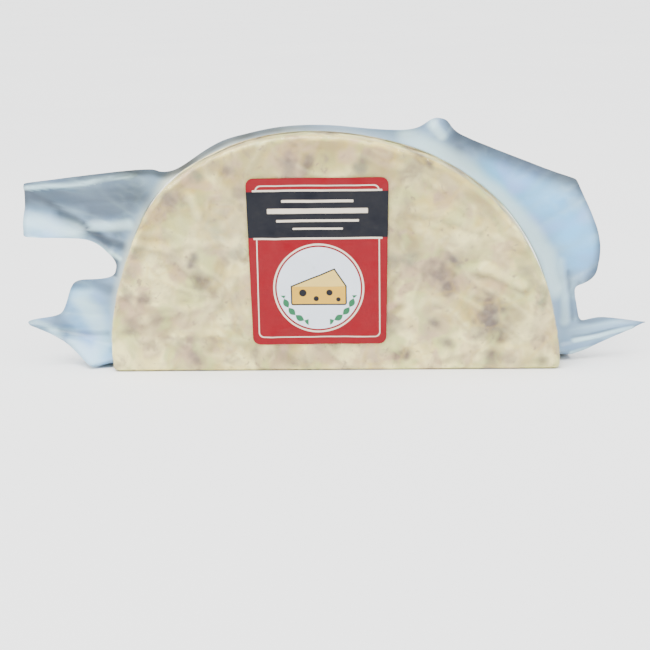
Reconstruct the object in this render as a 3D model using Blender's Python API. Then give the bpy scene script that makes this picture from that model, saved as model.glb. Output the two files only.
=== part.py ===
"""Half a wheel of cheddar in a clear vacuum pouch, with a sticker on its front.

It stands on its cut face. +Z is up, the front looks along -Y, and the origin is
the middle of the cut face. Lengths are in metres and angles in degrees, except
where a name says otherwise.
"""

import math

import bmesh
import bpy
from mathutils import Vector

MM = 0.001

# The cheese
WHEEL_RADIUS = 125 * MM
CENTRE_HEIGHT = 12.2 * MM  # the cut passes this far beyond the wheel's middle
THICKNESS = 42 * MM
EDGE_ROUND = 3 * MM  # where a face meets the rim or the cut
CORNER_ROUND = 3.1 * MM  # where the rim meets the cut, seen from the front
UNEVENNESS = (  # waves round the wheel: turns, sine share, cosine share
    (2, -0.020, 0.014),
    (3, 0.0, 0.012),
    (4, 0.0, -0.014),
)
FULLNESS = (  # where the rim bulges: its angle, the height, and the reach as an angle
    (-5, 1.9 * MM, 9),
    (137, 2.2 * MM, 11),
    (186, 5.2 * MM, 24),
)
DENT_DEPTH = 0.5 * MM  # soft dents that the tight film presses into the faces
DENT_LENGTH = 78 * MM
DENT_FADE = 20 * MM  # no dents nearer than this to an edge

# The sticker
LABEL_WIDTH = 77.4 * MM
LABEL_HEIGHT = 95 * MM
LABEL_TAPER = 0.022  # share by which the film has pulled the top wide and the foot narrow
LABEL_ROUND = 4 * MM
LABEL_MIDDLE = (-8.5 * MM, 63.4 * MM)
LABEL_THICKNESS = 0.4 * MM

# The film
FILM_THICKNESS = 0.7 * MM  # the two sealed layers together
ROOT_SPREAD = 2.2 * MM  # half the width where the layers part to go round the cheese
FLAP_SPREAD = 0.7 * MM  # the same on the flap that lies on the floor
ROOT_LENGTH = 5 * MM
WAVE_LENGTH = 21 * MM
WAVE_HEIGHT = 1.3 * MM
WAVE_GROWTH = 30 * MM  # distance from the cheese at which the waves are full
FLOOR_GAP = 0.1 * MM

GAP = 0.35 * MM  # between pieces that touch

RIM_STEPS = 66
BASE_STEPS = 12
CORNER_STEPS = 4
EDGE_STEPS = 4
CAP_SCALES = (0.82, 0.62, 0.42, 0.2)
FILM_STEPS_PER_SPAN = 2
FILM_ROWS = (0, 0.05, 0.13, 0.26, 0.44, 0.7, 1)  # shares of the way to the film's free edge

# The pouch's free edge over the arch: seam angle, then the edge's x, y and z in millimetres
FILM_EDGE = (
    (0, 178.9, 1, 22.0),
    (1.0, 164.5, 0, 24.0),
    (1.9, 151.2, -1, 25.4),
    (3.8, 142.8, -1, 23.2),
    (5.8, 140.6, 0, 27.6),
    (7.6, 139.6, 1, 33.5),
    (9.0, 138.8, 2, 39.0),
    (11.0, 139.8, 3, 42.6),
    (15.6, 146.4, 4, 45.2),
    (18.2, 151.4, 4, 51.2),
    (21.2, 153.0, 4, 61.4),
    (25, 151.8, 4, 73.2),
    (30, 147.8, 2, 85.0),
    (35, 142.0, 1, 96.5),
    (38, 138.4, 0, 104.4),
    (40, 135.5, -1, 106.5),
    (46, 116.4, -3, 113.6),
    (54, 93.8, -3, 122.9),
    (60.5, 70.0, -1, 132.6),
    (64, 64.5, 3, 139.6),
    (67, 56.0, 4, 140.6),
    (70, 49.0, 2, 135.9),
    (73.5, 37.8, 0, 134.4),
    (81, 20.0, 0, 135.4),
    (90, 0.5, 1, 137.4),
    (98, -17.8, 0, 137.9),
    (105, -33.6, 0, 136.6),
    (112, -49.2, 0, 133.4),
    (118, -62.5, 1, 129.8),
    (124, -75.0, 1, 122.8),
    (131, -88.6, 1, 113.8),
    (134.5, -98.5, 0, 112.6),
    (137, -104.5, -1, 114.6),
    (141, -138.3, -3, 112.2),
    (142.2, -174.0, -2, 107.5),
    (143.6, -178.3, -1, 105.0),
    (145.8, -179.9, 1, 92.0),
    (148.2, -179.5, -2, 78.5),
    (149.6, -176.0, -3, 75.6),
    (153.8, -146.3, -4, 74.3),
    (156.6, -132.6, -2, 68.0),
    (158.7, -127.0, 0, 60.0),
    (160.5, -127.2, 1, 55.5),
    (162.2, -129.6, 1, 51.6),
    (163.8, -140.0, 0, 50.2),
    (165.5, -150.8, -1, 49.6),
    (168, -154.6, -2, 43.5),
    (171.5, -159.7, -1, 30.5),
    (174.5, -168.0, 0, 28.0),
    (177, -179.4, 1, 26.6),
    (180, -180.6, 1, 23.8),
)
# Below each tip the pouch comes forward to the floor, folds over and runs back. From the tip on:
# the seam's y and z on the rim, then the free edge's distance to the side, its y and z, in millimetres
FOLD_RIGHT = (
    (-1.0, 9.6, 179.6, 2.5, 21.0),
    (-2.5, 8.4, 169.0, 2.0, 15.8),
    (-4.0, 7.6, 155.5, 1.0, 10.0),
    (-5.0, 6.2, 145.5, 0.0, 6.0),
    (-3.5, 4.6, 138.5, 0.0, 3.4),
    (2.0, 3.2, 137.0, 6.0, 1.3),
    (11.0, 2.8, 137.0, 17.0, 0.9),
)
FOLD_LEFT = (
    (-1.5, 9.8, 179.0, 1.0, 22.0),
    (-5.0, 8.0, 164.0, -1.0, 17.0),
    (-9.0, 6.6, 152.0, -6.5, 8.8),
    (-12.5, 4.9, 142.5, -15.5, 2.0),
    (-9.0, 2.8, 138.5, -9.0, 0.9),
    (2.0, 2.6, 137.5, 3.0, 0.8),
    (13.0, 2.6, 137.0, 16.0, 0.8),
)
FOLD_SPREAD = 0.9 * MM  # half the width of the film's root from the first fold to the flap
FLAP_CORNER = (20.6, 2.2, 136.0, 33.0, 1.2)  # the same as a row above, at the back corner
FLAP_WIDTH = 12 * MM
FLAP_SPANS = 9
FLAP_RIPPLE = 0.9 * MM

# Folds in the film: start x and z, end x and z, half-width and depth (to the back), in millimetres
FOLDS = (
    (-174, 95, -118, 66, 9, 5.5),
    (-170, 21, -126, 20, 5, 3.0),
    (62, 126, 142, 62, 15, -3.5),
    (128, 12, 176, 21, 3.5, -1.6),
    (-140, 106, -104, 84, 6, -1.8),
)


def wheel_radius(angle):
    """The wheel's radius at an angle in radians. It is fuller at upper left than at upper right."""
    share = 1.0
    for turns, sine, cosine in UNEVENNESS:
        share += sine * math.sin(turns * angle) + cosine * math.cos(turns * angle)
    bulge = 0.0
    for middle, height, reach in FULLNESS:
        bulge += height * math.exp(-(((math.degrees(angle) - middle) / reach) ** 2))
    return WHEEL_RADIUS * share + bulge


def rim_point(angle, out=0.0):
    """(x, z) on the wheel's rim, or a distance out of it."""
    radius = wheel_radius(angle) + out
    return radius * math.cos(angle), CENTRE_HEIGHT + radius * math.sin(angle)


def low_angle(side, z):
    """The rim's angle at height z, low on its right (side 1) or its left (side -1)."""
    radius = WHEEL_RADIUS
    for _ in range(3):
        turn = math.asin((z - CENTRE_HEIGHT) / radius)
        angle = turn if side > 0 else math.pi - turn
        radius = wheel_radius(angle)
    return angle


def half_outline():
    """The cheese's outline from the front: (x, z) points, anticlockwise from the cut's right end."""
    start, end = (low_angle(side, CORNER_ROUND) for side in (1, -1))
    points = [rim_point(start + (end - start) * i / RIM_STEPS) for i in range(RIM_STEPS + 1)]
    for side, (x, _) in ((-1, points[-1]), (1, points[0])):
        middle = x - side * CORNER_ROUND
        turn = []
        for i in range(1, CORNER_STEPS + 1):
            angle = math.radians(90 * i / CORNER_STEPS)
            reach = side * CORNER_ROUND * math.cos(angle)
            turn.append((middle + reach, CORNER_ROUND * (1 - math.sin(angle))))
        if side < 0:
            points += turn
            left = turn[-1][0]
        else:
            right = turn[-1][0]
            points += [
                (left + (right - left) * i / BASE_STEPS, 0.0) for i in range(1, BASE_STEPS)
            ]
            points += reversed(turn)
    return points


def inset(points, depth):
    """The closed outline moved inwards by depth. It runs anticlockwise."""
    moved = []
    for i, (x, z) in enumerate(points):
        before, after = points[i - 1], points[(i + 1) % len(points)]
        along = Vector((after[0] - before[0], after[1] - before[1])).normalized()
        moved.append((x - depth * along.y, z + depth * along.x))
    return moved


def smooth_step(value):
    value = min(max(value, 0.0), 1.0)
    return value * value * (3 - 2 * value)


def face_dent(x, z, shift):
    """How far a face stands out at (x, z). shift tells the front's dents from the back's."""
    inside = WHEEL_RADIUS - math.hypot(x, z - CENTRE_HEIGHT)
    fade = smooth_step(inside / DENT_FADE) * smooth_step(z / DENT_FADE)
    turn = 2 * math.pi / DENT_LENGTH
    wave = math.sin(turn * (x + 0.4 * z) + shift) * math.cos(turn * (z - 0.3 * x) + 2 * shift)
    return DENT_DEPTH * fade * wave


def front_face(x, z):
    """y of the cheese's front."""
    return -THICKNESS / 2 - face_dent(x, z, 0.6)


def back_face(x, z):
    """y of the cheese's back."""
    return THICKNESS / 2 + face_dent(x, z, 2.3)


def loft(name, loops, material, poles=None):
    """A closed solid through loops of equal length.

    poles are its two end points. Without them the last loop joins the first.
    """
    mesh = bpy.data.meshes.new(name)
    shape = bmesh.new()
    rows = [[shape.verts.new(point) for point in loop] for loop in loops]
    pairs = list(zip(rows, rows[1:]))
    if poles is None:
        pairs.append((rows[-1], rows[0]))
    count = len(rows[0])
    for near, far in pairs:
        for i in range(count):
            j = (i + 1) % count
            shape.faces.new((near[i], near[j], far[j], far[i]))
    if poles is not None:
        for pole, row in zip(poles, (rows[0], rows[-1])):
            tip = shape.verts.new(pole)
            for i in range(count):
                shape.faces.new((tip, row[i], row[(i + 1) % count]))
    bmesh.ops.recalc_face_normals(shape, faces=shape.faces)
    bmesh.ops.triangulate(shape, faces=shape.faces, quad_method="SHORT_EDGE")
    shape.to_mesh(mesh)
    shape.free()
    mesh.shade_smooth()
    mesh.set_sharp_from_angle(angle=math.radians(40))
    mesh.materials.append(material)
    piece = bpy.data.objects.new(name, mesh)
    bpy.context.scene.collection.objects.link(piece)
    return piece


def finish(name, colour, roughness, alpha=1.0):
    """A Principled material."""
    material = bpy.data.materials.new(name)
    material.use_nodes = True
    shader = material.node_tree.nodes["Principled BSDF"]
    shader.inputs["Base Color"].default_value = (*colour, 1.0)
    shader.inputs["Roughness"].default_value = roughness
    shader.inputs["Metallic"].default_value = 0.0
    shader.inputs["Alpha"].default_value = alpha
    return material


def cheese():
    """The half wheel: its outline lofted from the front, round the edges, to the back."""
    outline = half_outline()
    edge = inset(outline, EDGE_ROUND)
    middle = (0.0, sum(z for _, z in edge) / len(edge) + 12 * MM)

    def cap(scale, face):
        ring = [
            (middle[0] + scale * (x - middle[0]), middle[1] + scale * (z - middle[1]))
            for x, z in edge
        ]
        return [(x, face(x, z), z) for x, z in ring]

    def turn(step, side):
        angle = math.radians(90 * step / EDGE_STEPS)
        depth = EDGE_ROUND * (1 - math.sin(angle))
        y = side * (THICKNESS / 2 - EDGE_ROUND * (1 - math.cos(angle)))
        return [(x, y, z) for x, z in inset(outline, depth)]

    steps = range(EDGE_STEPS + 1)
    loops = [cap(scale, front_face) for scale in reversed(CAP_SCALES)]
    loops += [turn(step, -1) for step in steps]
    loops += [turn(step, 1) for step in reversed(steps)]
    loops += [cap(scale, back_face) for scale in CAP_SCALES]
    poles = [(middle[0], face(*middle), middle[1]) for face in (front_face, back_face)]
    return loft("cheese", loops, finish("cheese", (0.80, 0.72, 0.52), 0.42), poles)


def rounded_corner(x, z, side_x, side_z):
    """A quarter turn of LABEL_ROUND at one corner of the sticker, anticlockwise."""
    start = {(1, -1): -90, (1, 1): 0, (-1, 1): 90, (-1, -1): 180}[(side_x, side_z)]
    middle_x, middle_z = x - side_x * LABEL_ROUND, z - side_z * LABEL_ROUND
    points = []
    for i in range(5):
        angle = math.radians(start + 22.5 * i)
        points.append(
            (middle_x + LABEL_ROUND * math.cos(angle), middle_z + LABEL_ROUND * math.sin(angle))
        )
    return points


def label_outline():
    """The sticker's outline about its own middle, with points along its sides so that it can bend."""
    corners = []
    for side_x, side_z in ((1, -1), (1, 1), (-1, 1), (-1, -1)):
        width = LABEL_WIDTH / 2 * (1 + side_z * LABEL_TAPER)
        corners.append(rounded_corner(side_x * width, side_z * LABEL_HEIGHT / 2, side_x, side_z))
    points = []
    for i, corner in enumerate(corners):
        points += corner
        (x0, z0), (x1, z1) = corner[-1], corners[(i + 1) % 4][0]
        points += [(x0 + (x1 - x0) * share, z0 + (z1 - z0) * share) for share in (0.25, 0.5, 0.75)]
    return points


def label():
    """The sticker: a thin plate that follows the cheese's front."""
    outline = label_outline()

    def ring(scale, out):
        points = []
        for x, z in outline:
            x, z = LABEL_MIDDLE[0] + scale * x, LABEL_MIDDLE[1] + scale * z
            points.append((x, front_face(x, z) - out, z))
        return points

    scales = (0.25, 0.5, 0.75, 1.0)
    loops = [ring(scale, GAP) for scale in scales]
    loops += [ring(scale, GAP + LABEL_THICKNESS) for scale in reversed(scales)]
    x, z = LABEL_MIDDLE
    poles = [(x, front_face(x, z) - out, z) for out in (GAP, GAP + LABEL_THICKNESS)]
    return loft("label", loops, finish("label", (0.62, 0.06, 0.07), 0.3), poles)


def rim_at(side, y, z):
    """The seam's point low on the rim's side, just clear of the cheese."""
    x, _ = rim_point(low_angle(side, z), GAP)
    return Vector((x, y, z))


def arch():
    """Rows of the film over the arch. A row is (seam, edge, way out of the cheese, spread)."""
    rows = []
    for degrees, x, y, z in FILM_EDGE:
        angle = math.radians(degrees)
        seam_x, seam_z = rim_point(angle, GAP)
        out = Vector((math.cos(angle), 0, math.sin(angle)))
        rows.append((Vector((seam_x, 0, seam_z)), Vector((x, y, z)) * MM, out, ROOT_SPREAD))
    return rows


def fold_back(side, folds):
    """Rows from the tip of one side wing, round the cheese's foot, back to the flap."""
    rows = []
    for y, z, away, edge_y, edge_z in folds:
        seam = rim_at(side, y * MM, z * MM)
        edge = Vector((side * away, edge_y, edge_z)) * MM
        rows.append((seam, edge, Vector((side, 0, 0)), FOLD_SPREAD))
    y, z, away, edge_y, edge_z = FLAP_CORNER
    seam = rim_at(side, y * MM, z * MM)
    edge = Vector((side * away, edge_y, edge_z)) * MM
    rows.append((seam, edge, Vector((side, 1, 0)), FLAP_SPREAD))
    return rows


def flap():
    """Rows along the flap that lies on the floor behind the cheese, left to right."""
    rows = []
    end = WHEEL_RADIUS - 2.4 * EDGE_ROUND
    height = FLAP_SPREAD + FLOOR_GAP + GAP
    for i in range(FLAP_SPANS + 1):
        x = -end + 2 * end * i / FLAP_SPANS
        ripple = math.sin(2.1 * i)
        rise = FILM_THICKNESS / 2 + FLOOR_GAP + FLAP_RIPPLE * (1 + ripple) / 2
        seam = Vector((x, THICKNESS / 2 + GAP, height))
        edge = Vector((1.03 * x, THICKNESS / 2 + FLAP_WIDTH * (1 + 0.06 * ripple), rise))
        rows.append((seam, edge, Vector((0, 1, 0)), FLAP_SPREAD))
    return rows


def between(before, start, end, after, share):
    """A point on the Catmull-Rom curve from start to end."""
    return 0.5 * (
        2 * start
        + (end - before) * share
        + (2 * before - 5 * start + 4 * end - after) * share**2
        + (3 * start - before - 3 * end + after) * share**3
    )


def rounded(values):
    """The closed row of points or numbers, with curved steps between them."""
    steps = []
    count = len(values)
    for i in range(count):
        near = [values[(i + k) % count] for k in (-1, 0, 1, 2)]
        steps += [between(*near, k / FILM_STEPS_PER_SPAN) for k in range(FILM_STEPS_PER_SPAN)]
    return steps


def fold_depth(x, z):
    """How far the pouch's folds push the film back at (x, z)."""
    depth = 0.0
    place = Vector((x, z))
    for x0, z0, x1, z1, width, height in FOLDS:
        start, end = Vector((x0, z0)) * MM, Vector((x1, z1)) * MM
        along = end - start
        share = min(max((place - start).dot(along) / along.length_squared, 0.0), 1.0)
        away = (place - start - along * share).length
        depth += height * MM * math.exp(-((away / (width * MM)) ** 2))
    return depth


def film_section(seam, edge, out, spread, ahead, travelled):
    """One closed slice across the film, out along its front and home along its back."""
    front, back = [], []
    width = (edge - seam).length
    across = ahead.cross(edge - seam).normalized()
    along_rim = ahead.cross(out).normalized()
    for share in FILM_ROWS:
        place = seam.lerp(edge, share)
        distance = share * width
        growth = smooth_step(distance / WAVE_GROWTH) * across.y**2
        wave = WAVE_HEIGHT * math.sin(2 * math.pi * travelled / WAVE_LENGTH)
        place += across * growth * (wave + fold_depth(place.x, place.z))
        root = max(0.0, 1 - distance / ROOT_LENGTH) ** 2
        normal = across.lerp(along_rim, root).normalized()
        half = normal * (FILM_THICKNESS / 2 + (spread - FILM_THICKNESS / 2) * root)
        front.append(place - half)
        back.append(place + half)
    return front + back[::-1]


def film_skirt():
    """The pouch's free film, a thin wavy ring round the cheese."""
    rows = arch() + fold_back(-1, FOLD_LEFT) + flap() + fold_back(1, FOLD_RIGHT)[::-1]
    seams, edges, outs, spreads = (rounded(values) for values in zip(*rows))
    loops = []
    travelled = 0.0
    for i, (seam, edge, out, spread) in enumerate(zip(seams, edges, outs, spreads)):
        ahead = seams[(i + 1) % len(seams)] - seams[i - 1]
        travelled += ahead.length / 2
        loops.append(film_section(seam, edge, out, spread, ahead, travelled))
    return loft("film_skirt", loops, finish("film", (0.72, 0.80, 0.88), 0.15, 0.5))


def main():
    for thing in list(bpy.data.objects):
        bpy.data.objects.remove(thing)
    cheese()
    label()
    film_skirt()


main()
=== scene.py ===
import math
import random

import bpy
import numpy as np
from mathutils import Matrix, Vector, kdtree, noise


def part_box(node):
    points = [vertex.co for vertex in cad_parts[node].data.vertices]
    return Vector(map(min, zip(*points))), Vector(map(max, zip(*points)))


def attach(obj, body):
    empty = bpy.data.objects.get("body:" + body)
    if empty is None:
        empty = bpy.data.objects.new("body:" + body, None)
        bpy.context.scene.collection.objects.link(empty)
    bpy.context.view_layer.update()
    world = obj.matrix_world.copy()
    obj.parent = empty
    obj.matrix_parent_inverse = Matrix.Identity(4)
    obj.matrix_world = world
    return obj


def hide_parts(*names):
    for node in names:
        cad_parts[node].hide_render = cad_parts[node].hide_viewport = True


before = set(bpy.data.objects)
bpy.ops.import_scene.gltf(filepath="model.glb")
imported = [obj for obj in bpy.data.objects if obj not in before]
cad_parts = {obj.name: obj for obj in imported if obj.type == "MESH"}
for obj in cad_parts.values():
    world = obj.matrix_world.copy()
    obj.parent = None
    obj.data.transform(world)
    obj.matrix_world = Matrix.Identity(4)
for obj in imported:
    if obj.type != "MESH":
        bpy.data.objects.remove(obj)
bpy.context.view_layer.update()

mm = 0.001


# Selecting and finishing meshes

def alone(piece):
    # only this piece is selected and active
    if bpy.context.mode != "OBJECT":
        bpy.ops.object.mode_set(mode="OBJECT")
    bpy.ops.object.select_all(action="DESELECT")
    piece.select_set(True)
    bpy.context.view_layer.objects.active = piece
    return piece


def applied(piece, kind, **settings):
    # adds a modifier with these settings and applies it
    alone(piece)
    modifier = piece.modifiers.new(kind.title(), kind)
    for name, value in settings.items():
        setattr(modifier, name, value)
    bpy.ops.object.modifier_apply(modifier=modifier.name)


def editing(piece, *steps):
    # runs edit-mode operators on the whole piece
    alone(piece)
    bpy.ops.object.mode_set(mode="EDIT")
    bpy.ops.mesh.select_all(action="SELECT")
    for step, settings in steps:
        step(**settings)
    bpy.ops.object.mode_set(mode="OBJECT")


def solidCopy(node, name):
    # a new piece with the CAD node's shape, as one merged mesh
    piece = bpy.data.objects.new(name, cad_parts[node].data.copy())
    piece.data.materials.clear()
    bpy.context.scene.collection.objects.link(piece)
    editing(piece, (bpy.ops.mesh.remove_doubles, {"threshold": 0.01 * mm}))
    return piece


def places(piece):
    spots = np.empty(len(piece.data.vertices) * 3)
    piece.data.vertices.foreach_get("co", spots)
    return spots.reshape(-1, 3)


def directions(piece):
    spots = np.empty(len(piece.data.vertices) * 3)
    piece.data.vertices.foreach_get("normal", spots)
    return spots.reshape(-1, 3)


def move(piece, spots):
    piece.data.vertices.foreach_set("co", spots.ravel())
    piece.data.update()


def paint(piece, name, values):
    # keeps one number for each vertex, for the material to read
    layer = piece.data.attributes.new(name, "FLOAT", "POINT")
    layer.data.foreach_set("value", np.clip(values, 0, 1).astype(np.float32))


def lumps(spots, size, shift=0.0, stretch=(1, 1, 1)):
    # smooth noise from -1 to 1, with lumps of about this size
    scaled = spots * np.array(stretch) / size + shift
    return np.array([noise.noise(Vector(spot)) for spot in scaled])


def ridges(values, sharpness):
    # thin ridge lines where smooth noise crosses zero
    return (1 - np.abs(values)) ** sharpness


def ease(values, low, high):
    share = np.clip((values - low) / (high - low), 0, 1)
    return share * share * (3 - 2 * share)


def around(spots):
    # angle round the wheel's middle and distance from it, seen from the front
    x, z = spots[:, 0], spots[:, 2] - wheel["centre"]
    return np.arctan2(z, x), np.hypot(x, z)


def stroked(spots, strokes):
    # how strongly each place is touched by strokes that are drawn in the front view, in mm
    flat = spots[:, [0, 2]]
    amount = np.zeros(len(spots))
    for points, halfWidth, strength in strokes:
        away = np.full(len(spots), np.inf)
        for first, last in zip(points, points[1:]):
            start, step = np.array(first) * mm, (np.array(last) - np.array(first)) * mm
            along = np.clip((flat - start) @ step / (step @ step), 0, 1)
            away = np.minimum(away, np.linalg.norm(flat - start - along[:, None] * step, axis=1))
        amount = np.maximum(amount, strength * (1 - ease(away / (halfWidth * mm), 0.15, 1.3)))
    return amount


def shown(piece, material, slot, *nodes):
    piece.data.materials.clear()
    piece.data.materials.append(material)
    alone(piece)
    bpy.ops.object.shade_smooth()
    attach(piece, "root")
    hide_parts(*nodes)
    print("made", piece.name, len(piece.data.polygons), "faces")


# Shader nodes written as sums

class Wire:
    # an output socket that can be added, multiplied and compared
    def __init__(self, recipe, socket):
        self.recipe = recipe
        self.socket = socket

    def maths(self, operation, *others):
        sockets = dict(enumerate([self, *others]))
        return self.recipe.node("ShaderNodeMath", {"operation": operation}, sockets)

    def __add__(self, other):
        return self.maths("ADD", other)

    def __mul__(self, other):
        return self.maths("MULTIPLY", other)

    __radd__ = __add__
    __rmul__ = __mul__

    def __sub__(self, other):
        return self.maths("SUBTRACT", other)

    def __rsub__(self, other):
        return (self * -1) + other

    def __truediv__(self, other):
        return self.maths("DIVIDE", other)

    def __pow__(self, other):
        return self.maths("POWER", other)

    def __abs__(self):
        return self.maths("ABSOLUTE")

    def most(self, other):
        return self.maths("MAXIMUM", other)

    def least(self, other):
        return self.maths("MINIMUM", other)

    def between(self, low, high):
        # 0 below low, 1 above high, eased between them
        settings = {"interpolation_type": "SMOOTHSTEP", "clamp": True}
        sockets = {"Value": self, "From Min": low, "From Max": high}
        return self.recipe.node("ShaderNodeMapRange", settings, sockets)


class Recipe:
    # a material and the nodes that it is made of
    def __init__(self, name):
        self.material = bpy.data.materials.new(name)
        self.material.use_nodes = True
        self.tree = self.material.node_tree
        self.tree.nodes.clear()
        self.spot = self.node("ShaderNodeTexCoord", out="Object")

    def node(self, kind, settings=None, sockets=None, out=0):
        made = self.tree.nodes.new(kind)
        for name, value in (settings or {}).items():
            setattr(made, name, value)
        for key, value in (sockets or {}).items():
            if isinstance(value, Wire):
                self.tree.links.new(value.socket, made.inputs[key])
            else:
                colour = made.inputs[key].type == "RGBA" and len(value) == 3
                made.inputs[key].default_value = (*value, 1.0) if colour else value
        return Wire(self, made.outputs[out])

    def axes(self, spot=None):
        # the x, y and z of a place
        split = self.node("ShaderNodeSeparateXYZ", sockets={0: spot or self.spot})
        return [Wire(self, socket) for socket in split.socket.node.outputs]

    def mottle(self, size, detail=2.0, stretch=(1, 1, 1), twist=0.0, shift=(0, 0, 0)):
        # noise around 0.5 with patches of about this size
        sockets = {"Vector": self.spot, "Location": shift, "Scale": stretch}
        spot = self.node("ShaderNodeMapping", sockets=sockets)
        sockets = {"Vector": spot, "Scale": 1 / size, "Detail": detail, "Distortion": twist}
        return self.node("ShaderNodeTexNoise", sockets=sockets)

    def kept(self, name):
        # a number that was kept for each vertex
        return self.node("ShaderNodeAttribute", {"attribute_name": name}, out="Fac")

    def blend(self, amount, first, second):
        return self.node("ShaderNodeMix", {"data_type": "RGBA"}, {0: amount, 6: first, 7: second}, out=2)

    def bump(self, height, depth, strength=1.0):
        return self.node("ShaderNodeBump", sockets={"Height": height, "Distance": depth, "Strength": strength})

    def surface(self, sockets):
        return self.node("ShaderNodeBsdfPrincipled", sockets=sockets)

    def finish(self, shader):
        output = self.tree.nodes.new("ShaderNodeOutputMaterial")
        self.tree.links.new(shader.socket, output.inputs["Surface"])
        return self.material


# Camera, at the photograph's view of the front

view = {
    "place": (20.7, -765.7, 221.2),  # mm
    "aim": (-5.3, -21.0, 27.1),  # mm, the middle of the frame
    "roll": -0.95,  # degrees
    "lens": 75.3,
}


def makeCamera():
    place, aim = Vector(view["place"]) * mm, Vector(view["aim"]) * mm
    bpy.ops.object.camera_add(location=place)
    camera = bpy.context.object
    turn = (aim - place).to_track_quat("-Z", "Y").to_matrix().to_4x4()
    camera.rotation_euler = (turn @ turnedBy(view["roll"])).to_euler()
    camera.data.lens = view["lens"]
    camera.data.clip_start = 0.01
    camera.data.clip_end = 20
    bpy.context.scene.camera = camera
    print("camera ready")


def turnedBy(degrees):
    return Matrix.Rotation(math.radians(degrees), 4, "Z")


# Floor and light

studio = {
    "paper": (0.93, 0.93, 0.92),
    "paperShade": (0.90, 0.90, 0.90),
    "floorSize": 40.0,
    "floorDrop": 0.02 * mm,
    "sky": (0.95, 0.97, 1.0),
    "skyStrength": 0.9,
    "sunFrom": (-0.22, -0.24, 1.0),
    "sunSpread": 60,  # degrees across, for soft shadows
    "sunStrength": 7.4,
}
softboxes = (
    # name, place, aim, size, power, colour
    ("softboxLeft", (-1.1, -0.9, 0.9), (0, 0, 0.06), 0.5, 12.0, (1.0, 0.99, 0.97)),
    ("softboxRight", (1.3, -0.3, 0.5), (0, 0, 0.06), 0.4, 6.0, (0.93, 0.97, 1.0)),
)


def makeStudio():
    bpy.ops.mesh.primitive_plane_add(size=studio["floorSize"], location=(0, 0, -studio["floorDrop"]))
    floor = bpy.context.object
    floor.name = "floor"
    paper = Recipe("paperFloor")
    shade = paper.mottle(0.4).between(0.2, 0.8)
    colour = paper.blend(shade, studio["paper"], studio["paperShade"])
    floor.data.materials.append(paper.finish(paper.surface({"Base Color": colour, "Roughness": 0.9})))

    world = bpy.context.scene.world or bpy.data.worlds.new("studio")
    bpy.context.scene.world = world
    world.use_nodes = True
    sky = world.node_tree.nodes["Background"]
    sky.inputs["Color"].default_value = (*studio["sky"], 1.0)
    sky.inputs["Strength"].default_value = studio["skyStrength"]
    bpy.ops.object.light_add(type="SUN", location=studio["sunFrom"])
    sun = bpy.context.object
    sun.name = "softSun"
    sun.rotation_euler = Vector(studio["sunFrom"]).to_track_quat("Z", "Y").to_euler()
    sun.data.angle = math.radians(studio["sunSpread"])
    sun.data.energy = studio["sunStrength"]
    for name, place, aim, size, power, colour in softboxes:
        bpy.ops.object.light_add(type="AREA", location=place)
        lamp = bpy.context.object
        lamp.name = name
        lamp.rotation_euler = (Vector(aim) - Vector(place)).to_track_quat("-Z", "Y").to_euler()
        lamp.data.size = size
        lamp.data.energy = power
        lamp.data.color = colour
    print("studio ready")


# The cheese

wheel = {
    "centre": 12.2 * mm,
    "radius": 125 * mm,
    "halfThickness": 21 * mm,
}
cheeseLook = {
    "voxel": 1.1 * mm,
    "facetSize": 27 * mm,
    "facetHeight": 1.15 * mm,
    "smallFacetSize": 12 * mm,
    "smallFacetHeight": 0.42 * mm,
    "foldHeight": 1.5 * mm,
    "creaseHeight": 0.7 * mm,
    "sunk": 1.8 * mm,  # the level from which the relief is cut off
    "shadeShift": (-1.2 * mm, 0, 3.4 * mm),  # from a fold's shaded foot to its crest
    "dimpleSize": 6 * mm,
    "dimpleHeight": 0.2 * mm,
    "curdSize": 12 * mm,
    "seamDepth": 0.35 * mm,
    "pitDepth": 0.6 * mm,
    "ivory": (0.335, 0.26, 0.092),
    "cream": (0.99, 0.89, 0.40),
    # painted highlight on the crests of folds and creases
    "crestHighlight": (0.98, 0.88, 0.36),
    "shade": (0.20, 0.155, 0.062),
    "rimShade": (0.35, 0.245, 0.068),
    "straw": (0.64, 0.455, 0.075),
    "olive": (0.50, 0.54, 0.17),
    "rose": (0.53, 0.35, 0.21),
    "umber": (0.235, 0.155, 0.10),
    "brown": (0.08, 0.042, 0.042),
    "sage": (0.17, 0.20, 0.10),
    "roughness": 0.42,
}
# x, z, radius and strength, in mm, of the marks on the front
brownMarks = (
    (-79, 65, 3.5, 0.9), (-75, 52, 6, 0.7), (-107, 43, 4, 0.7), (-117, 45, 3, 0.6),
    (-115, 28, 5, 0.5), (-101, 32, 4, 0.5), (-60, 115, 3, 0.6), (-24, 120, 5, 0.8),
    (-14, 118, 4, 0.8), (-52, 103, 4, 0.5), (-79, 8, 4, 0.6), (-46, 10, 3, 0.4),
    (53, 119, 3, 0.9), (45, 115, 7, 0.5), (67, 64, 3.5, 0.9), (60, 57, 7, 0.75),
    (64, 48, 5, 0.85), (52, 57, 4, 0.5), (88, 31, 10, 0.9), (84, 23, 7, 0.6),
    (97, 25, 4, 0.6), (57, 27, 3.5, 0.75), (64, 16, 3, 0.7), (89, 9, 4, 0.7),
    (39, 10, 4, 0.8), (34, 25, 5, 0.4), (118, 5, 3, 0.6), (107, 56, 4, 0.5),
    (15, 117, 3, 0.6), (62, 77, 5, 0.3), (-26, 7, 4, 0.4),
)
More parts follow.
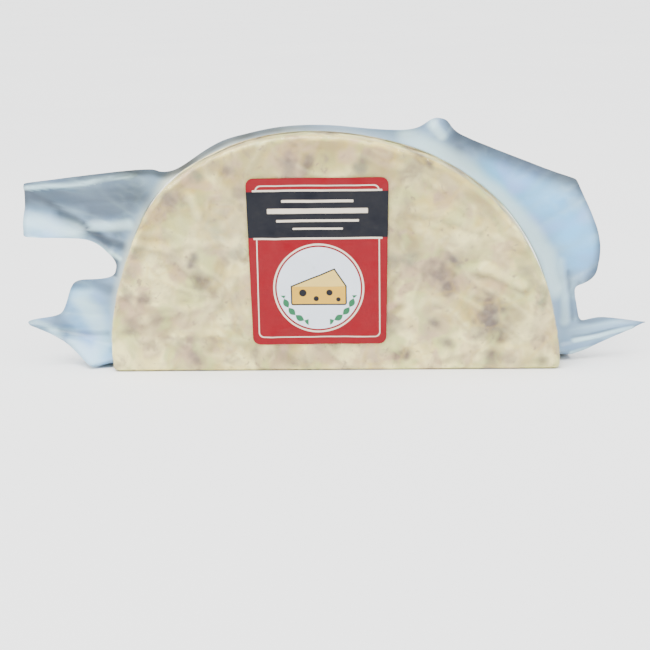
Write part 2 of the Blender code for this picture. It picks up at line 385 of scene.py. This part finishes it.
strawMarks = (
    (-95, 88, 10, 0.9), (-101, 79, 6, 1.0), (-72, 86, 6, 0.6), (-57, 123, 12, 0.8),
    (-14, 131, 14, 0.8), (20, 128, 14, 0.7), (-86, 97, 7, 0.7), (82, 86, 7, 0.6),
    (101, 66, 6, 0.5), (-56, 44, 6, 0.6), (60, 92, 12, 0.6), (82, 41, 10, 0.5),
)
# yellower lines just inside the rim, a yellow tone that is partly painted shade under the rounded edge: points
# in mm, half width in mm, strength
strawShadeLines = (
    (((-106, 76), (-101, 88), (-94, 95), (-83, 102), (-70, 108)), 4, 0.9),
    (((-60, 116), (-38, 124), (-17, 128), (0, 130), (21, 129)), 4, 0.8),
    (((21, 129), (37, 126), (51, 121), (65, 113), (76, 105)), 3.5, 0.9),
    (((46, 97), (64, 96)), 4, 0.8),
    (((77, 48), (89, 50), (99, 43)), 3.5, 0.7),
)
# ridges that the film has pressed into the front
pressedFolds = (
    (((-80, 101), (-73, 86), (-65, 80), (-59, 75), (-51, 70)), 3.6, 1.0),
    (((-112, 76), (-105, 74), (-96, 73), (-88, 67), (-81, 60), (-73, 57)), 3.6, 0.9),
    (((-91, 73), (-84, 76), (-77, 77)), 3.2, 0.7),
    (((-110, 30), (-97, 35), (-83, 38), (-66, 42)), 3.4, 0.6),
    (((77, 58), (87, 59), (97, 54), (106, 49)), 3.8, 1.0),
    (((45, 93), (54, 91), (66, 88), (80, 82)), 3.8, 0.7),
    (((36, 41), (48, 43), (64, 40)), 3.2, 0.5),
    (((35, 118), (48, 113), (61, 104)), 3.2, 0.5),
    (((-56, 58), (-60, 40), (-55, 20)), 3.2, 0.45),
    (((-100, 18), (-80, 24), (-62, 22)), 3.2, 0.45),
    (((60, 8), (80, 14), (100, 12)), 3.2, 0.45),
)
sageMarks = (
    (118, 45, 3, 0.9), (117, 39, 3, 0.9), (41, 64, 4, 0.6), (34, 62, 4, 0.6),
    (15, 116, 4, 0.5), (-54, 70, 4, 0.6), (-66, 82, 5, 0.5), (-110, 70, 4, 0.4),
)


def folded(spots, ways):
    # the pressed folds, drawn on the front and mirrored on the back
    seen = spots * np.where(ways[:, 1:2] > 0, -1, 1) ** np.array((1, 0, 0))
    return stroked(seen, pressedFolds) * (np.abs(ways[:, 1]) > 0.4)


# size in mm, stretch, size of the patches where they lie in mm, how rare those are, strength
creaseSets = (
    (14, (0.35, 1, 1), 30, -0.2, 1.0),
    (15, (1, 1, 0.35), 34, -0.1, 1.0),
    (8, (0.45, 1, 1), 19, -0.15, 0.75),
    (9, (1, 1, 0.5), 21, -0.05, 0.7),
)


def creased(spots):
    # fine slanting creases, from 0 to 1
    slanted = spots @ np.array([[0.82, 0, 0.57], [0, 1, 0], [-0.57, 0, 0.82]])
    amount = np.zeros(len(spots))
    for size, stretch, patch, low, strength in creaseSets:
        lines = ridges(lumps(slanted, size * mm, size, stretch), 6)
        amount = np.maximum(amount, strength * lines * ease(lumps(spots, patch * mm, patch), low, low + 0.5))
    return amount


def insideRim(spots):
    # how far each place lies inside the outline that is seen from the front
    angle, reach = around(spots)
    steps = np.clip(np.degrees(angle) + 10, 0, 199).astype(int) // 2
    rim = np.zeros(100)
    np.maximum.at(rim, steps, reach)
    return rim[steps] - reach


def pressed(spots, ways):
    # the crumpled relief that the tight film gives the soft cheese, zero or inwards
    look = cheeseLook
    height = look["facetHeight"] * ridges(lumps(spots, look["facetSize"], 51), 2.5)
    height += look["smallFacetHeight"] * ridges(lumps(spots, look["smallFacetSize"], 52), 2.5)
    height += look["foldHeight"] * folded(spots, ways)
    height += look["creaseHeight"] * creased(spots) * (1 - underSticker(spots))
    share = (0.4 + 0.6 * ways[:, 1] ** 2) * ease(spots[:, 2], 0.3 * mm, 5 * mm)
    return np.minimum(height - look["sunk"], 0) * share


def marked(spots, marks, seed, extras, sizes):
    # how strongly each place is marked, with more marks thrown on the back and the rim
    dice = random.Random(seed)
    amount = np.zeros(len(spots))
    coarse, fine = lumps(spots, 7 * mm, seed), lumps(spots, 2.8 * mm, seed)
    half = wheel["halfThickness"]
    spread = [(Vector((x, -21, z)) * mm, r * mm, s) for x, z, r, s in marks]
    for _ in range(extras):
        angle, reach = dice.uniform(0, math.pi), math.sqrt(dice.random()) * wheel["radius"]
        onRim = dice.random() < 0.4
        y = dice.uniform(-half, half) if onRim else half
        reach = wheel["radius"] if onRim else reach
        place = (reach * math.cos(angle), y, wheel["centre"] + reach * math.sin(angle))
        spread.append((Vector(place), dice.uniform(*sizes) * mm, dice.uniform(0.4, 1)))
    for place, radius, strength in spread:
        tilt, length = dice.uniform(0, math.pi), dice.uniform(1, 1.7)
        along = np.array((math.cos(tilt), 0, math.sin(tilt)))
        offset = spots - np.array(place)
        offset -= (1 - 1 / length) * (offset @ along)[:, None] * along
        away = np.linalg.norm(offset, axis=1) / radius
        wobble = (0.75 * coarse + 0.4 * fine) * min(1, radius / (6 * mm))
        amount = np.maximum(amount, strength * (1 - ease(away + wobble, 0.25, 1.5)))
    return amount


def makeCheese():
    look = cheeseLook
    piece = solidCopy("cheese", "halfWheel")
    applied(piece, "REMESH", mode="VOXEL", voxel_size=look["voxel"])
    applied(piece, "SMOOTH", factor=0.5, iterations=4)
    spots, ways = places(piece), directions(piece)
    brown = marked(spots, brownMarks, 3, 60, (2.5, 8))
    straw = marked(spots, strawMarks, 11, 30, (6, 14))
    wander = spots + 2 * mm * np.stack([lumps(spots, 9 * mm, s) for s in (61, 62, 63)], axis=1)
    # the yellower lines are partly painted shade under the rounded edge
    straw = np.maximum(straw, stroked(wander, strawShadeLines) * (ways[:, 1] < -0.3))
    sage = marked(spots, sageMarks, 17, 14, (3, 5))
    scaled = spots / look["curdSize"]
    wander = lumps(spots, 20 * mm, 5)
    seams = np.empty(len(spots))
    for i, spot in enumerate(scaled):
        near, _ = noise.voronoi(Vector(spot + 0.35 * wander[i]))
        seams[i] = near[1] - near[0]
    seams = (1 - ease(seams, 0.0, 0.16)) * ease(lumps(spots, 24 * mm, 9), -0.15, 0.35)
    pits = ease(lumps(spots, 4.2 * mm, 21), 0.32, 0.5) * ease(brown, 0.25, 0.8)
    rise = look["dimpleHeight"] * (lumps(spots, look["dimpleSize"], 27) - 0.6)
    rise -= look["seamDepth"] * seams + look["pitDepth"] * pits
    upright = ease(spots[:, 2], 0.2 * mm, 3 * mm)
    patchy = 0.6 + 0.8 * lumps(spots, 10 * mm, 37)
    # painted highlights on the crests of the pressed folds and creases, and painted shade at their feet
    crestHighlight = np.maximum(folded(spots, ways) * patchy, 0.6 * creased(spots))
    foot = spots + np.array(look["shadeShift"])
    shade = np.maximum(folded(foot, ways), 0.75 * creased(foot)) * (1 - crestHighlight)
    inset = insideRim(spots)
    rimShade = ease(inset, 2 * mm, 4 * mm) * (1 - ease(inset, 6 * mm, 13 * mm))
    rimShade = np.maximum(rimShade, 0.7 * ease(spots[:, 2], 84 * mm, 122 * mm) * (inset > 3 * mm))
    rimShade *= ease(spots[:, 2], 20 * mm, 90 * mm) * (0.85 + 0.9 * lumps(spots, 17 * mm, 71))
    relief = pressed(spots, ways)
    move(piece, spots + ways * (relief + np.minimum(rise, 0) * (0.3 + 0.7 * upright))[:, None])
    # painted light and shade: the colour is lighter on the raised ridges and darker in the hollows
    paint(piece, "ridgeLight", 1 + relief / look["sunk"])
    paint(piece, "crestHighlight", crestHighlight)
    paint(piece, "shade", shade)
    paint(piece, "rimShade", rimShade * np.abs(ways[:, 1]))
    paint(piece, "brown", brown)
    paint(piece, "straw", straw)
    paint(piece, "sage", sage)
    paint(piece, "seams", seams)
    shown(piece, cheeseFinish(), "cheese", "cheese")
    return piece


def cheeseFinish():
    look = cheeseLook
    mix = Recipe("mottledCheese")
    # painted shade in the hollows of the relief, with the raised ridges blended lighter
    ridgeLight = mix.kept("ridgeLight").between(0.2, 1.0)
    cloudy = mix.mottle(24 * mm, 3, twist=0.3).between(0.38, 0.6)
    colour = mix.blend((cloudy * 0.72 + ridgeLight * 0.45).least(1.0), look["ivory"], look["cream"])
    warm = mix.mottle(17 * mm, 2, twist=0.3, shift=(2, 0, 1)).between(0.5, 0.66)
    straw = (mix.kept("straw") * 0.75 + warm * 0.35).least(1.0)
    colour = mix.blend(straw, colour, look["straw"])
    mossy = mix.mottle(19 * mm, 2, twist=0.3, shift=(6, 0, 2)).between(0.48, 0.62)
    colour = mix.blend(mossy * 0.7, colour, look["olive"])
    colour = mix.blend(mix.kept("rimShade") * 0.85, colour, look["rimShade"])
    rosy = mix.mottle(17 * mm, 3, twist=0.4, shift=(0, 3, 5)).between(0.48, 0.62)
    colour = mix.blend(rosy * (0.9 - ridgeLight * 0.4), colour, look["rose"])
    smudged = mix.mottle(12 * mm, 3, twist=0.4, shift=(3, 5, 0)).between(0.53, 0.72)
    colour = mix.blend(smudged * 0.7, colour, look["umber"])
    broken = mix.mottle(4.5 * mm, 2, twist=0.4, shift=(4, 1, 0)).between(0.3, 0.62)
    # painted shade at the feet of the folds and painted highlights on their crests
    colour = mix.blend(mix.kept("shade") * (0.6 + broken * 0.35), colour, look["shade"])
    colour = mix.blend(mix.kept("crestHighlight") * (0.3 + broken * 0.3), colour, look["crestHighlight"])
    colour = mix.blend(mix.kept("brown") * (0.75 + broken * 0.25), colour, look["brown"])
    colour = mix.blend(mix.kept("sage") * (0.6 + broken * 0.4), colour, look["sage"])
    fleck = mix.mottle(3.4 * mm, 2, twist=0.3, shift=(7, 2, 3)).between(0.62, 0.78)
    colour = mix.blend(fleck * 0.65, colour, look["umber"])
    colour = mix.blend(mix.kept("seams") * 0.3, colour, look["straw"])
    grain = mix.mottle(1.1 * mm, 4)
    bump = mix.bump(grain + mix.mottle(3.8 * mm, 2) * 0.8, 0.16 * mm)
    sockets = {
        "Base Color": colour,
        "Roughness": look["roughness"] + grain * 0.12,
        "Normal": bump,
        "Subsurface Weight": 0.15,
        "Subsurface Radius": (0.0035, 0.0026, 0.0012),
        "Subsurface Scale": 1.0,
        "Specular IOR Level": 0.3,
        "Coat Weight": 0.12,
        "Coat Roughness": 0.25,
    }
    return mix.finish(mix.surface(sockets))


# The film that lies tight on the cheese

tightLook = {
    "voxel": 1.0 * mm,
    "offset": 0.12 * mm,
    "creaseHeight": 0.3 * mm,
    "foldHeight": 0.3 * mm,
    "pleatHeight": 0.5 * mm,
    "haze": 0.025,
    "tint": (0.96, 0.95, 0.90),
    "metal": 0.5,
    "roughness": 0.2,
}
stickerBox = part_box("label")


def underSticker(spots):
    # 1 where the sticker lies, fading out round it
    low, high = stickerBox
    inside = np.minimum.reduce([
        spots[:, 0] - low.x, high.x - spots[:, 0], spots[:, 2] - low.z, high.z - spots[:, 2],
    ])
    return ease(inside, -4 * mm, 0) * (spots[:, 1] < 0)


def makeTightFilm():
    look = tightLook
    piece = solidCopy("cheese", "tightFilm")
    applied(piece, "REMESH", mode="VOXEL", voxel_size=look["voxel"])
    applied(piece, "SMOOTH", factor=0.5, iterations=4)
    spots, ways = places(piece), directions(piece)
    angle, reach = around(spots)
    flat = np.abs(ways[:, 1]) ** 4
    run = angle * wheel["radius"]
    polar = np.stack([run, reach, spots[:, 1]], axis=1)
    rimmed = ease(reach, 96 * mm, 122 * mm)
    pleats = ridges(lumps(polar, 5 * mm, 1, (1, 0.12, 0.16)), 9) * rimmed
    pleats *= ease(lumps(polar, 30 * mm, 4, (1, 0.2, 0.2)), -0.35, 0.2)
    crumple = ridges(lumps(spots, 10 * mm, 12), 6) * ease(lumps(spots, 22 * mm, 13), -0.1, 0.4)
    # the fold crests rise a little, and more haze along them paints a highlight
    foldRidgeHighlight = folded(spots, ways) ** 3 * (0.65 + 0.5 * lumps(spots, 10 * mm, 37))
    creases = np.maximum(creased(spots), 0.55 * crumple) * flat * (1 - underSticker(spots))
    seam = 1 - ease(np.abs(spots[:, 1]), 0.8 * mm, 4 * mm)
    rise = look["offset"] + look["creaseHeight"] * creases + look["pleatHeight"] * pleats * (1 - 0.6 * flat)
    rise += 0.2 * mm * seam * (1 - flat) + look["foldHeight"] * foldRidgeHighlight
    rise = np.minimum(rise, 0.12 * mm + 0.9 * np.maximum(spots[:, 2], 0))
    spots = spots + ways * (rise + pressed(spots, ways))[:, None]
    spots[:, 2] = np.maximum(spots[:, 2], 0)
    move(piece, spots)
    # the rounded front edge catches the light
    edge = 1 - ease(np.abs(-ways[:, 1] - 0.68), 0.12, 0.32)
    edge *= ease(spots[:, 2], 2 * mm, 8 * mm) * (0.5 + 0.7 * lumps(spots, 19 * mm, 31))
    paint(piece, "creases", np.maximum(creases, pleats))
    paint(piece, "foldRidgeHighlight", foldRidgeHighlight)
    paint(piece, "edgeLight", edge)
    shown(piece, tightFinish(), "film", "cheese")
    return piece


def tightFinish():
    look = tightLook
    mix = Recipe("tightFilm")
    creases, foldRidgeHighlight, lit = mix.kept("creases"), mix.kept("foldRidgeHighlight"), mix.kept("edgeLight")
    cloudy = mix.mottle(30 * mm, 3, twist=0.8).between(0.4, 0.7)
    edge = mix.node("ShaderNodeLayerWeight", sockets={"Blend": 0.25}, out="Fresnel")
    # the extra haze on the fold crests is a painted highlight
    haze = look["haze"] + cloudy * 0.03 + creases * 0.045 + foldRidgeHighlight * 0.03 + lit * 0.03 + edge * 0.15
    fine = mix.mottle(2.6 * mm, 3, twist=1.0)
    shine = mix.surface({
        "Base Color": look["tint"],
        "Metallic": look["metal"],
        "Roughness": look["roughness"] + cloudy * 0.12,
        "Normal": mix.bump(fine, 0.22 * mm),
        "Coat Weight": 1.0,
        "Coat Roughness": 0.08,
        "Specular IOR Level": 0.8,
    })
    clear = mix.node("ShaderNodeBsdfTransparent")
    return mix.finish(mix.node("ShaderNodeMixShader", sockets={0: haze.least(1.0), 1: clear, 2: shine}))


# The pouch's loose edges

looseLook = {
    "thinner": 0.2 * mm,
    "pullHeight": 1.3 * mm,
    "crumpleHeight": 0.5 * mm,
    "foldHeight": 1.5 * mm,
    "grey": (0.21, 0.34, 0.51),
    "blue": (0.13, 0.54, 1.0),
    "lilac": (0.33, 0.43, 0.98),
    # colours of the painted shade on folds and of the painted highlights on folds and wrinkles
    "foldShade": (0.048, 0.068, 0.10),
    "pale": (0.63, 0.92, 1.0),
    "root": (0.60, 0.63, 0.45),
    # the colour of the painted shade along the free edge
    "rim": (0.022, 0.019, 0.011),
    "haze": 0.9,
    "roughness": 0.3,
}
# tones drawn in the front view, with painted shade on the shaded folds and painted highlights on the lit
# folds: points in mm, half width in mm, strength
shadedFolds = (
    (((-180, 100), (-150, 98), (-112, 100)), 13, 0.95),
    (((-174, 101), (-157, 88), (-143, 79), (-132, 72), (-123, 70)), 5, 1.0),
    (((-140, 90), (-118, 92)), 9, 0.9),
    (((-126, 62), (-128, 53)), 3, 0.9),
    (((-124, 78), (-117, 90), (-108, 101)), 7, 0.75),
    (((-151, 48), (-141, 47), (-131, 44)), 4, 0.7),
    (((-162, 25), (-157, 20)), 5, 0.45),
    (((-162, 18), (-151, 17), (-134, 18)), 2.2, 0.6),
    (((66, 138), (70, 130), (72, 125)), 6, 0.8),
    (((70, 131), (94, 121), (116, 112), (136, 105), (142, 101)), 8.5, 0.95),
    (((140, 104), (148, 88), (153, 72), (153, 56), (147, 44)), 5, 0.75),
    (((134, 52), (136, 36), (137, 24)), 1.8, 0.55),
    (((141, 44), (141, 24)), 2, 0.5),
    (((142, 23), (158, 24), (179, 24)), 2.4, 0.6),
    (((138, 13), (161, 17)), 1.8, 0.4),
)
litFolds = (
    (((-178, 104), (-147, 106.5), (-114, 111)), 1.8, 0.9),
    (((-180, 84), (-165, 82), (-150, 77)), 6, 0.7),
    (((-140, 81), (-128, 81), (-117, 82)), 3.4, 0.7),
    (((-177, 74), (-162, 73), (-145, 72), (-136, 69), (-124, 62)), 1.8, 0.9),
    (((-147, 38), (-142, 30), (-139, 23)), 7, 0.7),
    (((-178, 25), (-170, 23), (-162, 16)), 2.4, 0.6),
    (((-153, 12), (-141, 5), (-137, 13)), 6, 0.6),
    (((56, 137), (61, 131)), 3.5, 0.8),
    (((42, 131), (58, 123), (75, 112), (91, 99), (104, 86), (115, 71), (123, 56), (127, 42)), 6.5, 0.85),
    (((129, 58), (132, 38), (133, 22)), 3, 0.5),
    (((138, 11), (153, 14), (172, 19)), 1.5, 0.8),
    (((136, 4), (153, 7), (169, 14)), 1.6, 0.8),
)
blueFolds = (
    (((92, 106), (110, 98), (130, 84), (141, 66)), 17, 0.95),
    (((-148, 38), (-140, 12)), 16, 0.55),
    (((-176, 84), (-160, 80)), 9, 0.5),
)


def nearEdge(spots, ways):
    # how far each place is from the film's free edge
    outward = spots[:, [0, 2]] - np.array((0, wheel["centre"]))
    outward /= np.linalg.norm(outward, axis=1)[:, None]
    facing = (ways[:, [0, 2]] * outward).sum(axis=1)
    rim = np.flatnonzero((np.abs(ways[:, 1]) < 0.6) & (facing > 0.3))
    tree = kdtree.KDTree(len(rim))
    for i in rim:
        tree.insert(spots[i], int(i))
    tree.balance()
    away = np.array([tree.find(spot)[2] for spot in spots])
    return away


def makeLooseFilm():
    look = looseLook
    piece = solidCopy("film_skirt", "looseFilm")
    editing(piece, (bpy.ops.mesh.tris_convert_to_quads, {"face_threshold": 1.2, "shape_threshold": 1.2}))
    applied(piece, "SUBSURF", levels=2, render_levels=2)
    spots, ways = places(piece), directions(piece)
    angle, reach = around(spots)
    out = ease(reach, 128 * mm, 146 * mm)
    upright = ease(spots[:, 2], 4 * mm, 16 * mm) * out
    polar = np.stack([angle * wheel["radius"], reach, 0 * reach], axis=1)
    flatSpots = spots * np.array((1, 0, 1))
    pulls = ridges(lumps(polar, 9 * mm, 3, (1, 0.16, 1)), 3) - 0.5
    crumple = ridges(lumps(flatSpots, 8 * mm, 7), 6) * ease(lumps(flatSpots, 26 * mm, 2), -0.1, 0.4)
    inwards = nearEdge(spots, ways)
    wander = spots + 1.3 * mm * np.stack([lumps(flatSpots, 14 * mm, s) for s in (41, 42, 43)], axis=1)
    foldShade, pale, blue = (stroked(wander, strokes) for strokes in (shadedFolds, litFolds, blueFolds))
    sway = upright * (look["pullHeight"] * pulls + look["crumpleHeight"] * crumple)
    sway += upright * look["foldHeight"] * (foldShade - pale)
    spots = spots - ways * (look["thinner"] * ease(reach, 124 * mm, 132 * mm))[:, None]
    spots[:, 1] += sway
    move(piece, spots)
    paint(piece, "pulls", ridges(lumps(polar, 9 * mm, 3, (1, 0.16, 1)), 6) * upright)
    paint(piece, "crumple", crumple * upright)
    # painted shade on the shaded folds and painted highlights on the lit folds, kept for the material
    paint(piece, "foldShade", foldShade)
    paint(piece, "pale", pale)
    paint(piece, "blue", blue)
    cheese = bpy.data.objects["halfWheel"]
    gap = np.array([(cheese.closest_point_on_mesh(Vector(spot))[1] - Vector(spot)).length for spot in spots])
    root = (1 - ease(gap, 0.6 * mm, 7 * mm)) * (0.8 + 0.5 * lumps(polar, 15 * mm, 35))
    paint(piece, "root", root * (0.15 + 0.85 * ease(angle, 1.2, 2.2)))
    # painted shade: a dark band along the free edge over the arch, and a fainter one along the whole free edge
    arch = ease(angle, 1.1, 2.1) * (1 - ease(angle, 2.5, 2.65)) * (0.85 + 0.3 * lumps(polar, 16 * mm, 33))
    band = arch * (1 - ease(inwards, 2 * mm, 6 * mm))
    paint(piece, "edgeShade", np.maximum(band, 0.3 * (1 - ease(inwards, 0.4 * mm, 3 * mm))))
    shown(piece, looseFinish(), "film", "film_skirt")
    return piece


def looseFinish():
    look = looseLook
    mix = Recipe("looseFilm")
    pulls, crumple = mix.kept("pulls"), mix.kept("crumple")
    foldShade, pale, blue = mix.kept("foldShade"), mix.kept("pale"), mix.kept("blue")
    cloudy = mix.mottle(30 * mm, 3, stretch=(0.6, 1, 1.5), twist=0.7).between(0.36, 0.64)
    colour = mix.blend(blue * (0.7 + cloudy * 0.3), look["grey"], look["blue"])
    lilac = mix.mottle(26 * mm, 1, shift=(1, 0, 4)).between(0.46, 0.62)
    colour = mix.blend(blue * lilac * 0.6, colour, look["lilac"])
    # painted shade on the shaded folds
    colour = mix.blend(foldShade * (0.85 + cloudy * 0.15), colour, look["foldShade"])
    # painted highlights along the pull lines and crumples and on the lit folds, less on the shaded folds and
    # the blue parts
    wrinkleHighlights = (pulls * 0.35 + crumple * 0.3) * (1 - foldShade * 0.85) * (1 - blue * 0.55)
    colour = mix.blend((pale * 0.8 + wrinkleHighlights).least(1.0), colour, look["pale"])
    colour = mix.blend(mix.kept("root") * (0.7 - foldShade * 0.4), colour, look["root"])
    # painted shade along the free edge, which is also hazier and more matte there
    edgeShade = mix.kept("edgeShade")
    colour = mix.blend(edgeShade, colour, look["rim"])
    edge = mix.node("ShaderNodeLayerWeight", sockets={"Blend": 0.3}, out="Fresnel")
    haze = look["haze"] + cloudy * 0.03 + foldShade * 0.1 + edgeShade * 0.1 + edge * 0.2
    fine = mix.mottle(3.5 * mm, 3, twist=0.8)
    shine = mix.surface({
        "Base Color": colour,
        "Roughness": look["roughness"] + cloudy * 0.1 + edgeShade * 0.3,
        "Normal": mix.bump(fine, 0.25 * mm),
        "Coat Weight": (1 - edgeShade) * 0.3,
        "Coat Roughness": 0.15,
        "Specular IOR Level": 0.25,
    })
    clear = mix.node("ShaderNodeBsdfTransparent")
    return mix.finish(mix.node("ShaderNodeMixShader", sockets={0: haze.least(1.0), 1: clear, 2: shine}))


# The sticker

stickerLook = {
    "red": (0.21, 0.0015, 0.008),
    "cream": (0.70, 0.62, 0.50),
    "white": (0.66, 0.72, 0.80),
    "navy": (0.005, 0.006, 0.011),
    "green": (0.02, 0.14, 0.06),
    "yellow": (0.62, 0.36, 0.035),
    "pale": (0.70, 0.50, 0.13),
    "soft": 0.18 * mm,
}


def makeSticker():
    piece = solidCopy("label", "sticker")
    applied(piece, "SUBSURF", subdivision_type="SIMPLE", levels=3, render_levels=3)
    spots = places(piece)
    spots[:, 1] += 0.09 * mm * lumps(spots * np.array((1, 0, 1)), 16 * mm, 4)
    # it follows the cheese below it
    below = spots * np.array((1, 0, 1)) + np.array((0, -wheel["halfThickness"], 0))
    spots[:, 1] -= pressed(below, np.tile((0.0, -1.0, 0.0), (len(spots), 1)))
    move(piece, spots)
    shown(piece, stickerFinish(), "label", "label")
    alone(piece)
    bpy.ops.object.shade_smooth_by_angle(angle=math.radians(35))
    return piece


def stickerFinish():
    look = stickerLook
    mix = Recipe("stickerPrint")
    x, _, z = mix.axes()
    low, high = stickerBox
    across = x - (low.x + high.x) / 2
    up = z - (low.z + high.z) / 2

    def inked(colour, distance, ink):
        # ink where the distance to the shape's edge is below zero
        return mix.blend(1 - distance.between(-look["soft"], look["soft"]), colour, ink)

    def disc(left, top, radius):
        return ((across - left * mm) ** 2 + (up - top * mm) ** 2) ** 0.5 - radius * mm

    def panel(left, top, wide, high, corner):
        aside = abs(across - left * mm) - (wide / 2 - corner) * mm
        above = abs(up - top * mm) - (high / 2 - corner) * mm
        far = (aside.most(0.0) ** 2 + above.most(0.0) ** 2) ** 0.5
        return far + aside.most(above).least(0.0) - corner * mm

    colour = inked(mix.blend(0.0, look["red"], look["red"]), panel(0, 0, 69, 87, 3), look["cream"])
    colour = inked(colour, panel(0, 0, 67.8, 85.8, 2.6), look["red"])
    # a dark band across the top, with plain rules
    colour = inked(colour, panel(0, 27, 72, 28, 0.4), look["cream"])
    colour = inked(colour, panel(0, 27, 90, 26, 0.2), look["navy"])
    for height, wide, thick in ((34.5, 40, 1.4), (29, 56, 2.8), (23.5, 46, 1.3), (19, 28, 1.0)):
        colour = inked(colour, panel(0, height, wide, thick, 0.4), look["cream"])
    # a round field with a wedge of cheese
    colour = inked(colour, disc(0, -15, 25.6), look["cream"])
    colour = inked(colour, disc(0, -15, 24.6), look["red"])
    colour = inked(colour, disc(0, -15, 23.6), look["white"])
    front = panel(0, -19, 30, 10, 0.6)
    slopeLeft = (up + 14 * mm) * 0.93 - (across + 15 * mm) * 0.37
    slopeRight = (up + 14 * mm) * 0.55 + (across - 15 * mm) * 0.83
    top = slopeLeft.most(slopeRight).most((up + 14 * mm) * -1)
    outline = (front.least(top) - 0.8 * mm).most(panel(0, -13, 31.6, 24, 0.8))
    colour = inked(colour, outline, look["navy"])
    colour = inked(colour, top, look["pale"])
    colour = inked(colour, front, look["yellow"])
    for left, height, radius in ((-9, -17.6, 2.1), (-1.5, -21, 1.5), (6, -17.4, 1.8), (11, -21.4, 1.3)):
        colour = inked(colour, disc(left, height, radius), look["navy"])
    # leaves round the lower half
    turn = (up + 15 * mm).maths("ARCTAN2", across)
    step = (turn * (22 / (2 * math.pi))).maths("FRACT")
    leaf = abs(disc(0, -15, 20.4)) - (step * math.pi).maths("SINE") * 1.7 * mm
    lower = (up + 19 * mm).most((6 * mm) - abs(across))
    colour = inked(colour, leaf.most(lower), look["green"])
    worn = mix.mottle(6 * mm, 4).between(0.35, 0.7)
    colour = mix.blend(worn * 0.006, colour, look["cream"])
    fine = mix.mottle(7 * mm, 2)
    return mix.finish(mix.surface({
        "Base Color": colour,
        "Roughness": 0.36 + worn * 0.1,
        "Normal": mix.bump(fine, 0.25 * mm),
        "Specular IOR Level": 0.2,
    }))


makeCamera()
makeStudio()
makeCheese()
makeTightFilm()
makeLooseFilm()
makeSticker()
